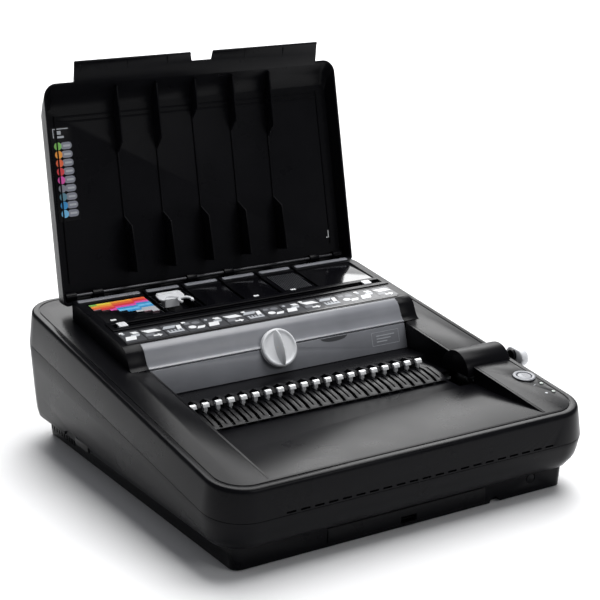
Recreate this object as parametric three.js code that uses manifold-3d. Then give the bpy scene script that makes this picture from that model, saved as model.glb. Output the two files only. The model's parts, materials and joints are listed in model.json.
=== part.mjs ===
// Electric comb binding machine, lid open.
// Millimetres, +Z up, +Y to the back, +X to the right of a person who stands in front of it.
// The shapes are written with y = 0 on the line of comb hooks and x = 0 on the casing's middle;
// the whole group is then moved so that the origin is the centre of the footprint on the table.
import * as THREE from 'three';
import { mergeVertices } from 'three/addons/utils/BufferGeometryUtils.js';
import Module from 'manifold-3d';

const wasm = await Module();
wasm.setup();

// ---- driving dimensions ----
const GAP = 0.3;                 // running clearance between separate pieces
const COMB_PITCH = 14.2875;      // 9/16 inch, the standard comb pitch
const HOOKS = 20;
const HOOK_X0 = -148.7;          // first hook
const PINS = 21;                 // punch pins for an A4 edge

const CASE_HALF = 216;           // casing half width at the parting line
const CASE_FRONT = -181;
const CASE_BACK = 289;
const WALL = 3;
const BASE_HALF = 194;
const BASE_FRONT = -159;
const BASE_BACK = 274;
const BASE_TOP = 24;
const BASE_BOTTOM = 1.5;

const RIM_AT_HOOKS = 112.2;      // height of the sloping top at y = 0
const RIM_SLOPE = 0.14194;       // 8.08 degrees
const SLOPE_ANGLE = Math.atan(RIM_SLOPE);
const PART_FRONT = 55.3;         // height of the parting line at the front
const PART_SLOPE = 0.1316;

const RECESS_HALF = 160.4;       // tray opening
const RECESS_FRONT = -166.4;
const SEAM_Y = 76;               // seam between the two front panels
const PANEL_HALF = 158;
const DECK_HALF = 178;
const DECK_BACK = 222.5;
const DECK_RISE = 20.2;          // deck height above the sloping top

const HINGE = { y: 240, z: 164.2 };
const LID_HALF = 186;
const LID_TAPER = 3;             // half width lost between the hinge and the free end
const LID_RIM = -13.8;           // rim plane below the hinge axis when shut
const LID_PANEL = 5.7;           // inner face of the lid panel above the axis when shut
const LID_WALL = 2.3;
const LID_OPEN = THREE.MathUtils.degToRad(106.6);
const RIB_XS = [-96, -48, 0, 48, 96];
const RIB_SHORT_BY = [0, 0, 29, 11, 0];   // the middle ribs stop short of the edge knob

const KNOB = { x: -7, y: 75.8, z: 120.2, lean: THREE.MathUtils.degToRad(63) };
const KNOB_RADIUS = 21;
const GUIDE_PINION = 12;

const LEVER = { y: -22, z: 79.8 };
const LEVER_PINION = 16;
const BOSS = { y: -29.5, z: 95, radius: 23.5 };

const DIE_Z = 98;                // height of the row of punch pins
const SHAFT_Y = 200;             // cam shaft
const CAM_RADIUS = 18;
const CAM_OFFSET = 4;
const GEAR_MODULE = 1.8;
const GEAR_TEETH = 36;
const PINION_TEETH = 9;
const MOTOR = { y: 228, z: 68.7 };

const rimZ = (y) => RIM_AT_HOOKS + RIM_SLOPE * y;
const partZ = (y) => PART_FRONT + PART_SLOPE * (y - CASE_FRONT);
const deckZ = (y) => rimZ(y) + DECK_RISE;
const hookX = (i) => HOOK_X0 + i * COMB_PITCH;

// ---- materials ----
const finish = (color, roughness, metalness = 0) =>
  new THREE.MeshStandardMaterial({ color, roughness, metalness });
const look = {
  shell: () => finish(0x17181a, 0.42),
  darkGrey: () => finish(0x3a3c40, 0.5),
  gloss: () => finish(0x0c0c0e, 0.18),
  white: () => finish(0xe8e9ea, 0.45),
  steel: () => finish(0xb9bcc0, 0.32, 1),
  brightSteel: () => finish(0xe4e6e8, 0.25, 1),
  rubber: () => finish(0x101010, 0.9),
  brass: () => finish(0xc8a45a, 0.35, 1),
  board: () => finish(0x1f5a34, 0.6),
  chart: () => finish(0xd76a8c, 0.5),
  lens: () => finish(0x88a08c, 0.2),
  strip: () => finish(0x8d9094, 0.5),
};

// ---- solids ----
function solid(geometry) {
  const plain = geometry.clone();
  plain.deleteAttribute('normal');
  plain.deleteAttribute('uv');
  const merged = mergeVertices(plain, 1e-4);
  return new wasm.Manifold(new wasm.Mesh({
    numProp: 3,
    vertProperties: new Float32Array(merged.attributes.position.array),
    triVerts: new Uint32Array(merged.index.array),
  }));
}

function flip(geometry) {
  const turned = geometry.clone();
  const order = Array.from(geometry.index.array);
  for (let i = 0; i < order.length; i += 3) {
    [order[i + 1], order[i + 2]] = [order[i + 2], order[i + 1]];
  }
  turned.setIndex(order);
  return turned;
}

// a skin wound the wrong way round encloses a negative volume
function outward(geometry) {
  const body = solid(geometry);
  return body.volume() > 0 ? body : solid(flip(geometry));
}

function toGeometry(body) {
  const { vertProperties, triVerts } = body.getMesh();
  const geometry = new THREE.BufferGeometry();
  geometry.setAttribute('position', new THREE.BufferAttribute(new Float32Array(vertProperties), 3));
  geometry.setIndex(new THREE.BufferAttribute(new Uint32Array(triVerts), 1));
  geometry.computeVertexNormals();
  return geometry;
}

const join = (bodies) => bodies.reduce((sum, body) => sum.add(body));
const cut = (body, tools) => tools.reduce((rest, tool) => rest.subtract(tool), body);

function box(x0, x1, y0, y1, z0, z1) {
  const geometry = new THREE.BoxGeometry(x1 - x0, y1 - y0, z1 - z0);
  geometry.translate((x0 + x1) / 2, (y0 + y1) / 2, (z0 + z1) / 2);
  return solid(geometry);
}

// turns a flat outline drawn in X and Y into the Y-Z plane, its thickness along X
const UPRIGHT = new THREE.Matrix4().makeBasis(
  new THREE.Vector3(0, 1, 0), new THREE.Vector3(0, 0, 1), new THREE.Vector3(1, 0, 0));

// outline in the Y-Z plane, drawn out along X
function prismX(points, x0, x1) {
  const shape = new THREE.Shape(points.map(([y, z]) => new THREE.Vector2(y, z)));
  const geometry = new THREE.ExtrudeGeometry(shape, { depth: x1 - x0, bevelEnabled: false });
  geometry.applyMatrix4(UPRIGHT);
  geometry.translate(x0, 0, 0);
  return solid(geometry);
}

function rodX(radius, x0, x1, y, z, sides = 20) {
  const geometry = new THREE.CylinderGeometry(radius, radius, x1 - x0, sides);
  geometry.rotateZ(Math.PI / 2);
  geometry.translate((x0 + x1) / 2, y, z);
  return solid(geometry);
}

function rodZ(radius, z0, z1, x, y, sides = 20) {
  const geometry = new THREE.CylinderGeometry(radius, radius, z1 - z0, sides);
  geometry.rotateX(Math.PI / 2);
  geometry.translate(x, y, (z0 + z1) / 2);
  return solid(geometry);
}

const CORNER_STEPS = 4;

// closed rounded rectangle in plan, with a height that may slope
function ring(half, front, back, rFront, rBack, height) {
  const corner = (x, y, radius, from) =>
    new THREE.EllipseCurve(x, y, radius, radius, from, from + Math.PI / 2).getPoints(CORNER_STEPS);
  const points = [
    ...corner(half - rFront, front + rFront, rFront, -Math.PI / 2),
    ...corner(half - rBack, back - rBack, rBack, 0),
    ...corner(-half + rBack, back - rBack, rBack, Math.PI / 2),
    ...corner(-half + rFront, front + rFront, rFront, Math.PI),
  ];
  const level = typeof height === 'function' ? height : () => height;
  return points.map((p) => new THREE.Vector3(p.x, p.y, level(p.y)));
}

// skin through a list of rings; a shell that closes on itself has no end caps
function loft(rings, closed = false) {
  const count = rings[0].length;
  const positions = rings.flat().flatMap((p) => [p.x, p.y, p.z]);
  const index = [];
  const bands = closed ? rings.length : rings.length - 1;
  for (let i = 0; i < bands; i += 1) {
    const a = i * count;
    const b = ((i + 1) % rings.length) * count;
    for (let j = 0; j < count; j += 1) {
      const k = (j + 1) % count;
      index.push(a + j, a + k, b + k, a + j, b + k, b + j);
    }
  }
  if (!closed) {
    const last = (rings.length - 1) * count;
    for (let j = 1; j < count - 1; j += 1) {
      index.push(0, j + 1, j);
      index.push(last, last + j, last + j + 1);
    }
  }
  const geometry = new THREE.BufferGeometry();
  geometry.setAttribute('position', new THREE.BufferAttribute(new Float32Array(positions), 3));
  geometry.setIndex(index);
  return outward(geometry);
}

const machine = new THREE.Group();

function place(name, body, material, parent = machine) {
  const mesh = new THREE.Mesh(toGeometry(body), material());
  mesh.name = name;
  parent.add(mesh);
  return mesh;
}

// ---- base, drawer and feet ----
const DRAWER = { half: 92, front: BASE_FRONT - 0.2, back: 152, bottom: 5.4, top: 20.6 };
const FOOT_SPOTS = [[-165, -128], [165, -128], [-165, 246], [165, 246]];

function makeBase() {
  const tub = loft([
    ring(BASE_HALF - 1.8, BASE_FRONT + 1.8, BASE_BACK - 1.8, 9, 9, BASE_BOTTOM),
    ring(BASE_HALF, BASE_FRONT, BASE_BACK, 10, 10, BASE_TOP),
    ring(BASE_HALF - WALL, BASE_FRONT + WALL, BASE_BACK - WALL, 7, 7, BASE_TOP),
    ring(BASE_HALF - WALL - 1.5, BASE_FRONT + WALL + 1.5, BASE_BACK - WALL - 1.5, 6, 6, 5),
  ]);
  const mouthHalf = DRAWER.half + 0.4;
  const mouth = box(-mouthHalf, mouthHalf, BASE_FRONT - 5, BASE_FRONT + 8, 5, DRAWER.top + 0.4);
  const pockets = FOOT_SPOTS.map(([x, y]) => rodZ(11.4, BASE_BOTTOM - 1, 4, x, y));
  const vents = Array.from({ length: 10 }, (_, i) =>
    box(-BASE_HALF - 2, -BASE_HALF + 8, 198 + i * 7, 201 + i * 7, 8, 20));
  return cut(tub, [mouth, ...pockets, ...vents]);
}

function makeDrawer() {
  const { half, front, back, bottom, top } = DRAWER;
  const outer = box(-half, half, front, back, bottom, top);
  const hollow = box(-half + 2, half - 2, front + 3, back - 2, bottom + 2, top + 1);
  const notch = rodX(7, -9, 9, front, bottom, 16);
  return cut(outer, [hollow, notch]);
}

function makeFoot() {
  const profile = [[0, 0], [10, 0], [11, 1.2], [11, 3.7], [0, 3.7]].map(([r, z]) => new THREE.Vector2(r, z));
  const geometry = new THREE.LatheGeometry(profile, 20);
  geometry.rotateX(Math.PI / 2);
  return outward(geometry);
}

// ---- casing ----
function makeLowerCasing() {
  const shell = loft([
    ring(182, -144, 263, 12, 12, 24.3),
    ring(195.5, -161, 275.5, 12, 12, 24.3),
    ring(206, -170, 283, 34, 34, 28),
    ring(212, -177, 287, 38, 38, 38),
    ring(CASE_HALF, CASE_FRONT, CASE_BACK, 40, 40, partZ),
    ring(CASE_HALF - WALL, CASE_FRONT + WALL, CASE_BACK - WALL, 37, 37, partZ),
    ring(209, -174, 284, 35, 35, 40),
    ring(200, -164, 278, 28, 28, 31),
    ring(182, -144, 263, 12, 12, 27.3),
  ], true);
  const inletHole = box(INLET.x - 14.4, INLET.x + 14.4, 276, 295, INLET.z - 10.4, INLET.z + 10.4);
  const switchHole = box(SWITCH.x - 10.4, SWITCH.x + 10.4, 276, 295, SWITCH.z - 7.4, SWITCH.z + 7.4);
  return cut(shell, [inletHole, switchHole, shaftHole()]);
}

// the lever shaft leaves the casing across its parting line
const shaftHole = () => rodX(5.4, 200, 230, LEVER.y, LEVER.z);

const BUTTON = { x: 193, y: -92 };
const LAMPS = [[199.5, -112], [199, -132]];
const VENTS = 21;
const VENT_PITCH = 14.93;

function makeUpperCasing() {
  const above = (drop) => (y) => rimZ(y) - drop;
  const shell = loft([
    ring(CASE_HALF - 7.5, CASE_FRONT + 5.5, CASE_BACK - 6, 33, 33, above(WALL)),
    ring(CASE_HALF - WALL, CASE_FRONT + WALL, CASE_BACK - WALL, 37, 37, (y) => partZ(y) + 0.5),
    ring(CASE_HALF, CASE_FRONT, CASE_BACK, 40, 40, (y) => partZ(y) + 0.5),
    ring(CASE_HALF - 4, CASE_FRONT + 1.5, CASE_BACK - 2.5, 37, 37, above(5)),
    ring(CASE_HALF - 5, CASE_FRONT + 2.4, CASE_BACK - 3.5, 36, 36, above(1.6)),
    ring(CASE_HALF - 7, CASE_FRONT + 4.4, CASE_BACK - 5.5, 34, 34, above(0)),
  ]);
  const recess = box(-RECESS_HALF, RECESS_HALF, RECESS_FRONT, SEAM_Y, 60, 200);
  const deckHole = box(-DECK_HALF + 5, DECK_HALF - 5, SEAM_Y - 1, DECK_BACK - 4, 90, 200);
  const bossHole = rodX(BOSS.radius + 0.4, 140, 207.9, BOSS.y, BOSS.z, 32);
  const buttonHole = rodZ(10.6, 80, 130, BUTTON.x, BUTTON.y, 24);
  const lampHoles = LAMPS.map(([x, y]) => rodZ(2.6, 80, 130, x, y, 12));
  const dashes = Array.from({ length: VENTS }, (_, i) => {
    const x = (i - (VENTS - 1) / 2) * VENT_PITCH;
    return box(x, x + 10, CASE_FRONT - 3, CASE_FRONT + 8, 57.2, 59);
  });
  return cut(shell, [recess, deckHole, bossHole, buttonHole, ...lampHoles, shaftHole(), ...dashes]);
}

// ---- tray and comb plate ----
const TRAY_TOP = 88.4;
const LEDGE_TOP = 94.6;
const trayTop = (y) => 86.4 + 2 * Math.abs(y + 90) / (y < -90 ? 76 : 124);

function makeTray() {
  const half = RECESS_HALF - GAP;
  const front = RECESS_FRONT + GAP;
  const back = SEAM_Y - 3;
  const floor = prismX([
    [front, trayTop(front)], [front, 84], [-90, 83.6], [36, 85.4], [39, 91.6], [back - 4, 91.6],
    [back - 4, LEDGE_TOP], [37, LEDGE_TOP], [34, TRAY_TOP], [-90, trayTop(-90)],
  ], -half, half);
  const wall = (x0, x1) => prismX([
    [front, 84], [front, rimZ(front) - 0.1], [back, rimZ(back) - 0.1], [back, 86], [36, 86],
  ], x0, x1);
  const walls = [wall(-half, -half + 2.4), wall(half - 2.4, half)];
  const bossHole = rodX(BOSS.radius + 0.4, 140, 200, BOSS.y, BOSS.z, 32);
  const hookWindow = box(-154, 134, -30, 8, 80, 92);
  return cut(join([floor, ...walls]), [bossHole, hookWindow]);
}

const PLATE = { x0: -157.4, x1: 137, front: -34, back: 35, top: 96.8 };
const SLOT = { front: -33, back: 15, half: 1.9 };

function makeCombPlate() {
  const foot = 88.9;
  const plate = prismX([
    [PLATE.front, foot], [PLATE.back - 2, foot], [PLATE.back, 95.6], [PLATE.back, PLATE.top],
    [-8, PLATE.top], [-26, 93.2], [PLATE.front, 89.8],
  ], PLATE.x0, PLATE.x1);
  const slots = [];
  const fingers = [];
  for (let i = 0; i < HOOKS; i += 1) {
    const x = hookX(i);
    slots.push(box(x - SLOT.half, x + SLOT.half, SLOT.front, SLOT.back, 80, 100));
    fingers.push(prismX([
      [-1, PLATE.top - 1], [24, PLATE.top - 1], [24, 99], [16, 104.5], [3, 105.4], [-1, 102],
    ], x - 8.6, x - 4.6));
  }
  const grooves = Array.from({ length: HOOKS + 2 }, (_, i) => {
    const x = HOOK_X0 + (i - 0.5) * COMB_PITCH;
    return box(x - 1, x + 1, -30, -4, 91.6, 100);
  }).filter((_, i) => i > 0);
  return cut(join([plate, ...fingers]), [...slots, ...grooves]);
}

// ---- hook bar with its rack, pushed by the lever ----
const HOOK_BAR = { z0: 77.4, z1: 80.4, y0: -5, y1: 8, x1: 163.1 };
const RACK = { x0: 168.4, x1: 174.4, front: -27.5, back: 12, thick: 2.6 };
const WEB = { x0: 163.4, x1: 167.9, front: 4 };
const RACK_LINE = LEVER.z + LEVER_PINION;

function makeHookBar() {
  const { z0, z1, y0, y1, x1 } = HOOK_BAR;
  const bar = box(-156, x1, y0, y1, z0, z1);
  const head = [[-2.6, 102], [-0.6, 101.2], [3, 101.6], [3, 105], [1.6, 106], [-1.4, 105.4]];
  const neck = [[-1.4, 97.4], [3, 97.4], [3, 102], [-1.4, 102]];
  const hooks = [];
  for (let i = 0; i < HOOKS; i += 1) {
    const x = hookX(i);
    hooks.push(box(x - 1.3, x + 1.3, 0, 3, z1 - 1, 101));
    hooks.push(prismX(neck, x - 2.6, x + 1.4));
    hooks.push(prismX(head, x - 3.5, x + 3.5));
  }
  return join([bar, ...hooks]);
}

const TOOTH_WIDTH = 0.8;         // share of a full tooth, so that meshed teeth never touch

function toothedGear(teeth, module, width, boreRadius) {
  const shape = new THREE.Shape();
  const pitch = (teeth * module) / 2;
  const root = pitch - 1.2 * module;
  const tip = pitch + 0.8 * module;
  const step = (2 * Math.PI) / teeth;
  for (let i = 0; i < teeth; i += 1) {
    const corners = [[root, -0.3], [tip, -0.13], [tip, 0.13], [root, 0.3]];
    corners.forEach(([r, part], j) => {
      const angle = (i + part * TOOTH_WIDTH) * step;
      const at = [r * Math.cos(angle), r * Math.sin(angle)];
      if (i === 0 && j === 0) shape.moveTo(...at);
      else shape.lineTo(...at);
    });
  }
  const hole = new THREE.Path();
  hole.absarc(0, 0, boreRadius, 0, 2 * Math.PI, true);
  shape.holes.push(hole);
  const geometry = new THREE.ExtrudeGeometry(shape, { depth: width, bevelEnabled: false, curveSegments: 16 });
  geometry.rotateY(Math.PI / 2);
  geometry.rotateX(Math.PI / 2);
  return geometry;
}

// gear whose axis runs along X, its first tooth turned by `phase` from straight back
function gearX(teeth, module, width, boreRadius, x, y, z, phase) {
  const geometry = toothedGear(teeth, module, width, boreRadius);
  geometry.rotateX(phase);
  geometry.translate(x, y, z);
  return solid(geometry);
}

const LEVER_TEETH = 16;

function makeHookRack() {
  const module = (2 * LEVER_PINION) / LEVER_TEETH;
  const pitch = Math.PI * module;
  const base = RACK_LINE + 1.3 * module;
  const body = box(RACK.x0, RACK.x1, RACK.front, RACK.back, base, base + RACK.thick);
  const teeth = [];
  for (let i = -1; i < 4; i += 1) {
    const y = LEVER.y + (i + 0.5) * pitch;
    teeth.push(prismX([
      [y - 0.26 * pitch, base + 0.2], [y - 0.11 * pitch, RACK_LINE - 0.8 * module],
      [y + 0.11 * pitch, RACK_LINE - 0.8 * module], [y + 0.26 * pitch, base + 0.2],
    ], RACK.x0, RACK.x1));
  }
  const web = box(WEB.x0, WEB.x1, WEB.front, RACK.back, HOOK_BAR.z0, base + RACK.thick);
  const bridge = box(WEB.x0, RACK.x1, WEB.front, RACK.back, base + 0.4, base + RACK.thick);
  return join([body, ...teeth, web, bridge]);
}

function makeLeverPinion() {
  const width = RACK.x1 - RACK.x0;
  return gearX(LEVER_TEETH, (2 * LEVER_PINION) / LEVER_TEETH, width, 5.3, RACK.x0, LEVER.y, LEVER.z, 0);
}

function makeLeverShaft() {
  return rodX(5, RACK.x0 - 0.2, 217.4, LEVER.y, LEVER.z, 20);
}

const ARM_TIP = { y: -16, z: 24 };   // far end of the lever arm, from its shaft

function makeLeverArm() {
  const shape = new THREE.Shape();
  const lean = Math.atan2(ARM_TIP.z, ARM_TIP.y) + Math.PI / 2;
  shape.absarc(0, 0, 10, lean, lean + Math.PI);
  shape.absarc(ARM_TIP.y, ARM_TIP.z, 6, lean + Math.PI, lean + 2 * Math.PI);
  const geometry = new THREE.ExtrudeGeometry(shape, { depth: 4, bevelEnabled: false, curveSegments: 8 });
  geometry.applyMatrix4(UPRIGHT);
  geometry.translate(217.7, LEVER.y, LEVER.z);
  return solid(geometry);
}

function makeLeverGrip() {
  const outline = new THREE.Shape();
  outline.absarc(-44, 101, 7, Math.PI / 2, 1.5 * Math.PI);
  outline.absarc(-33, 102, 7, -Math.PI / 2, Math.PI / 2);
  const geometry = new THREE.ExtrudeGeometry(outline, {
    depth: 5, bevelEnabled: true, bevelThickness: 2.4, bevelSize: 2.4, bevelSegments: 2, curveSegments: 5,
  });
  geometry.applyMatrix4(UPRIGHT);
  geometry.translate(224.4, 0, 0);
  return solid(geometry);
}

function makeBoss() {
  const outer = rodX(BOSS.radius, 150, 207.4, BOSS.y, BOSS.z, 32);
  const hollow = rodX(BOSS.radius - 2.6, 152.6, 204.8, BOSS.y, BOSS.z, 32);
  const below = box(140, 215, BOSS.y - 40, BOSS.y + 40, 60, BOSS.z);
  const rackRoom = box(163, 215, BOSS.y - 40, BOSS.y + 40, 60, 104.5);
  return cut(outer, [hollow, below, rackRoom]);
}

// ---- punch housing ----
const frontFace = [
  [76.2, 123.6], [79, 124.6], [81.5, 127.4], [84, 132.2], [87, 138.8], [90.5, 143], [97, 145.9],
];
const THROAT = { x0: -166, x1: 170, y0: 139, y1: 148 };
const POCKET = { x0: -167, x1: 170, y0: 156, y1: 209, depth: 2.6 };
const WELL = { x0: -93, x1: -51, y0: 158, y1: 216, depth: 15 };
const onDeck = (y, up = 0) => [y, deckZ(y) + up];

function deckSlab(x0, x1, y0, y1, low, high) {
  return prismX([onDeck(y0, low), onDeck(y1, low), onDeck(y1, high), onDeck(y0, high)], x0, x1);
}

function makeDeck() {
  const outer = prismX([
    [76.2, rimZ(76.2) + 0.3], ...frontFace.slice(1), onDeck(104), onDeck(DECK_BACK),
    [DECK_BACK, rimZ(DECK_BACK) + 0.3],
  ], -DECK_HALF, DECK_HALF);
  const inner = prismX([
    [70, 100], [70, 118], [84.6, 126], [88, 134], [91, 140], [98, 142.8], [104, deckZ(104) - 3],
    onDeck(DECK_BACK - 3, -3), [DECK_BACK - 3, 100],
  ], -DECK_HALF + 3, DECK_HALF - 3);
  const frontOpening = box(-PANEL_HALF - 0.3, PANEL_HALF + 0.3, 60, 96.3, 100, 200);
  const label = deckSlab(-171.3, 165.3, 98.4, 130.6, -1, 10);
  const throat = box(THROAT.x0 + 1.5, THROAT.x1 - 1.5, THROAT.y0 + 1, THROAT.y1 - 1, 130, 200);
  const throatPocket = deckSlab(-171.4, 175.4, 132.6, 154.4, -1.2, 10);
  const pocket = deckSlab(
    POCKET.x0 - GAP, POCKET.x1 + GAP, POCKET.y0 - GAP, POCKET.y1 + GAP, -POCKET.depth, 10);
  const well = deckSlab(WELL.x0, WELL.x1, WELL.y0 + 3, WELL.y1 - 3, -30, 10);
  const slots = RIB_XS.map((x) => deckSlab(x - 1.6, x + 1.6, 160, DECK_BACK + 4, -40, 10));
  return cut(outer, [inner, frontOpening, label, throatPocket, throat, pocket, well, ...slots]);
}

function makeFrontPanel() {
  const back = [[92.5, 140.6], [89.4, 137], [86.6, 131], [84.2, 126.4], [81, 122.6], [77, 121.6]];
  const panel = prismX([...frontFace.slice(0, -1), [96, 145.5], ...back], -PANEL_HALF, PANEL_HALF);
  return cut(panel, [knobHole()]);
}

function makeLowerPanel() {
  const panel = prismX([
    [75.6, 121.6], [68.6, LEDGE_TOP + 0.4], [71.4, LEDGE_TOP + 0.4], [78.4, 121.2],
  ], -PANEL_HALF + 0.6, PANEL_HALF - 0.6);
  return cut(panel, [knobHole()]);
}

// frame of the knob: local +Z is its axis, pointing out of the front face
function knobMatrix() {
  const out = new THREE.Vector3(0, -Math.sin(KNOB.lean), Math.cos(KNOB.lean));
  const up = new THREE.Vector3(0, Math.cos(KNOB.lean), Math.sin(KNOB.lean));
  const side = new THREE.Vector3().crossVectors(up, out);
  return new THREE.Matrix4().makeBasis(side, up, out).setPosition(KNOB.x, KNOB.y, KNOB.z);
}

function along(geometry, matrix) {
  geometry.applyMatrix4(matrix);
  return outward(geometry);
}

function knobHole() {
  const geometry = new THREE.CylinderGeometry(4.4, 4.4, 30, 16);
  geometry.rotateX(Math.PI / 2);
  return along(geometry, knobMatrix());
}

function makeKnob() {
  const profile = [
    [4.4, 1.6], [KNOB_RADIUS - 1, 1.6], [KNOB_RADIUS, 2.6], [KNOB_RADIUS, 5], [19, 8.6], [14, 10.6],
    [0, 11.2], [0, 8.6], [4.4, 8.6],
  ].map(([r, z]) => new THREE.Vector2(r, z));
  profile.push(profile[0].clone());
  const dome = new THREE.LatheGeometry(profile, 28);
  dome.rotateX(Math.PI / 2);
  const blade = new THREE.BoxGeometry(5, 34, 6);
  blade.translate(0, 0, 11.8);
  return along(dome, knobMatrix()).add(along(blade, knobMatrix()));
}

const WHEEL_DEPTH = 17.5;        // guide pinion behind the knob's face, along its axis

function makeKnobShaft() {
  const rod = new THREE.CylinderGeometry(4, 4, 38, 16);
  rod.rotateX(Math.PI / 2);
  rod.translate(0, 0, -10.7);
  const wheel = new THREE.CylinderGeometry(GUIDE_PINION - 1.4, GUIDE_PINION - 1.4, 7, 24);
  wheel.rotateX(Math.PI / 2);
  wheel.translate(0, 0, -WHEEL_DEPTH);
  return along(rod, knobMatrix()).add(along(wheel, knobMatrix()));
}

const ARM_LOWEST = 120.6;        // the arms pass over the punch die and the side plates

// edge guide: white tab in the throat, carried by a bar that runs above or below the knob's pinion
function makeGuide(sign) {
  const matrix = knobMatrix();
  const bar = new THREE.BoxGeometry(1, 3.4, 6);
  const inner = sign < 0 ? 12 : -12;
  const outer = sign < 0 ? -149 : 160;
  bar.scale(Math.abs(outer - inner), 1, 1);
  const centre = (outer + inner) / 2;
  const level = sign < 0 ? GUIDE_PINION + 1.7 : -GUIDE_PINION - 1.7;
  bar.translate(centre - KNOB.x, level, -WHEEL_DEPTH);
  const rack = along(bar, matrix);
  const tabX = sign < 0 ? -156 : 151;
  const x0 = tabX - 5;
  const x1 = tabX + 5;
  const rackY = KNOB.y + Math.cos(KNOB.lean) * level + WHEEL_DEPTH * Math.sin(KNOB.lean);
  const rackZ = KNOB.z + Math.sin(KNOB.lean) * level - WHEEL_DEPTH * Math.cos(KNOB.lean);
  const armZ = Math.max(rackZ, ARM_LOWEST);
  const left = Math.min(x0, outer);
  const right = Math.max(x1, outer);
  const arm = box(left, right, rackY - 1.5, 146, armZ - 1.6, armZ + 1.6);
  const riser = box(left, right, rackY - 1.5, rackY + 1.5, rackZ - 1.6, armZ + 1);
  const leg = box(x0 + 1, x1 - 1, 141.5, 145.5, armZ - 1, deckZ(141.5) + TAB_TOP - 0.4);
  const tabFoot = FRAME_TOP + GAP;
  const tab = prismX([
    onDeck(138.5, tabFoot), onDeck(148.5, tabFoot), onDeck(147.5, TAB_TOP), onDeck(139.5, TAB_TOP),
  ], x0, x1);
  return join([rack, arm, riser, leg, tab]);
}

const FRAME_TOP = 1.1;           // throat frame above the deck
const TAB_TOP = 2.5;             // guide tabs above the deck, just under the shut lid

function makeThroatFrame() {
  const outer = deckSlab(-171, 175, 133, 154, -0.9, FRAME_TOP);
  const hole = box(THROAT.x0, THROAT.x1, THROAT.y0, THROAT.y1, 130, 200);
  return cut(outer, [hole]);
}

function makeLabelStrip() {
  return deckSlab(-171, 165, 98.8, 130.3, -0.7, 0.3);
}

function makeRearPanel() {
  const plate = deckSlab(POCKET.x0, POCKET.x1, POCKET.y0, POCKET.y1, -POCKET.depth + 0.3, -1);
  const slots = RIB_XS.map((x) => deckSlab(x - 1.8, x + 1.8, POCKET.y0 + 4, POCKET.y1 + 4, -10, 10));
  const well = box(WELL.x0 + 1, WELL.x1 - 1, WELL.y0 + 2, POCKET.y1 + 4, 130, 200);
  return cut(plate, [...slots, well]);
}

// stair-stepped colour chart: one column for each comb size
const CHART = { x0: -166, x1: -100.4, columns: 8, back: 206, shortest: 14, longest: 40 };

function makeSizeChart() {
  const width = (CHART.x1 - CHART.x0) / CHART.columns;
  const columns = [];
  for (let i = 0; i < CHART.columns; i += 1) {
    const length = CHART.shortest + ((CHART.longest - CHART.shortest) * i) / (CHART.columns - 1);
    const x = CHART.x0 + i * width;
    columns.push(deckSlab(x, x + width + 0.01, CHART.back - length, CHART.back, -0.7, -0.1));
  }
  return join(columns).subtract(box(CHART.x1, 0, 100, 300, 100, 200));
}

function makeGaugeWell() {
  const outer = deckSlab(WELL.x0 + 0.4, WELL.x1 - 0.4, WELL.y0 + 3.4, WELL.y1 - 3.4, -WELL.depth, -3.4);
  const hollow = deckSlab(WELL.x0 + 2.2, WELL.x1 - 2.2, WELL.y0 + 5.2, WELL.y1 - 5.2, -WELL.depth + 1.8, 0);
  return outer.subtract(hollow);
}

// comb size gauge: white plate on a stem in the well, with a hook-shaped jaw at its front right
function makeGauge() {
  const plate = deckSlab(-91, -58, 180, 204, 0.4, 2.6);
  const stem = deckSlab(-84, -66, 186, 197, -8, 1);
  const jawShape = new THREE.Shape();
  jawShape.absarc(0, 0, 9, -Math.PI * 0.2, Math.PI * 1.2);
  jawShape.absarc(0, 0, 5.4, Math.PI * 1.2, -Math.PI * 0.2, true);
  const jaw = new THREE.ExtrudeGeometry(jawShape, { depth: 2.2, bevelEnabled: false, curveSegments: 14 });
  jaw.rotateX(SLOPE_ANGLE);
  jaw.translate(-63, 176, deckZ(176) + 0.4);
  return join([plate, stem, solid(jaw)]);
}

// ---- hinge and lid ----
const KNUCKLES = [-140, -24, 24, 140];
const POST_HALF = 6;
const RAIL = { front: 227, back: 252 };

function makeHingeRail() {
  const rail = prismX([
    [RAIL.front, rimZ(RAIL.front) + 0.4], [RAIL.back, rimZ(RAIL.back) + 0.4],
    [RAIL.back, rimZ(RAIL.back) + 1.6], [RAIL.front, rimZ(RAIL.front) + 1.6],
  ], -160, 160);
  const posts = KNUCKLES.flatMap((x) => [
    box(x - POST_HALF, x + POST_HALF, HINGE.y - 3.6, HINGE.y + 3.6, rimZ(HINGE.y) + 1, HINGE.z),
    rodX(4.4, x - POST_HALF, x + POST_HALF, HINGE.y, HINGE.z, 12),
  ]);
  return cut(join([rail, ...posts]), [rodX(2.5, -200, 200, HINGE.y, HINGE.z, 12)]);
}

function makeHingePin() {
  return rodX(2.2, -176, 176, HINGE.y, HINGE.z, 12);
}

const lidHalf = (y) => LID_HALF + (LID_TAPER * Math.min(y, 0)) / 206;

// one ring of the lid, narrower towards its free end
function lidRing(inset, rear, front, radius, level) {
  const points = ring(LID_HALF - inset, front, rear, radius, 5, level);
  return points.map((p) => new THREE.Vector3(p.x * (lidHalf(p.y) / LID_HALF), p.y, level));
}

function ribOutline(shortBy) {
  const free = LID_RIM + 2.5;
  const root = LID_PANEL + 0.5;
  const ridge = root - 2.2;
  return [
    [-17, root], [-18, -16.6], [-22, -17], [-69, LID_RIM], [-79, ridge],
    [-150 - shortBy, ridge], [-163.5 - shortBy, free], [-222, free], [-226, free + 4], [-209, root],
  ];
}

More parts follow.
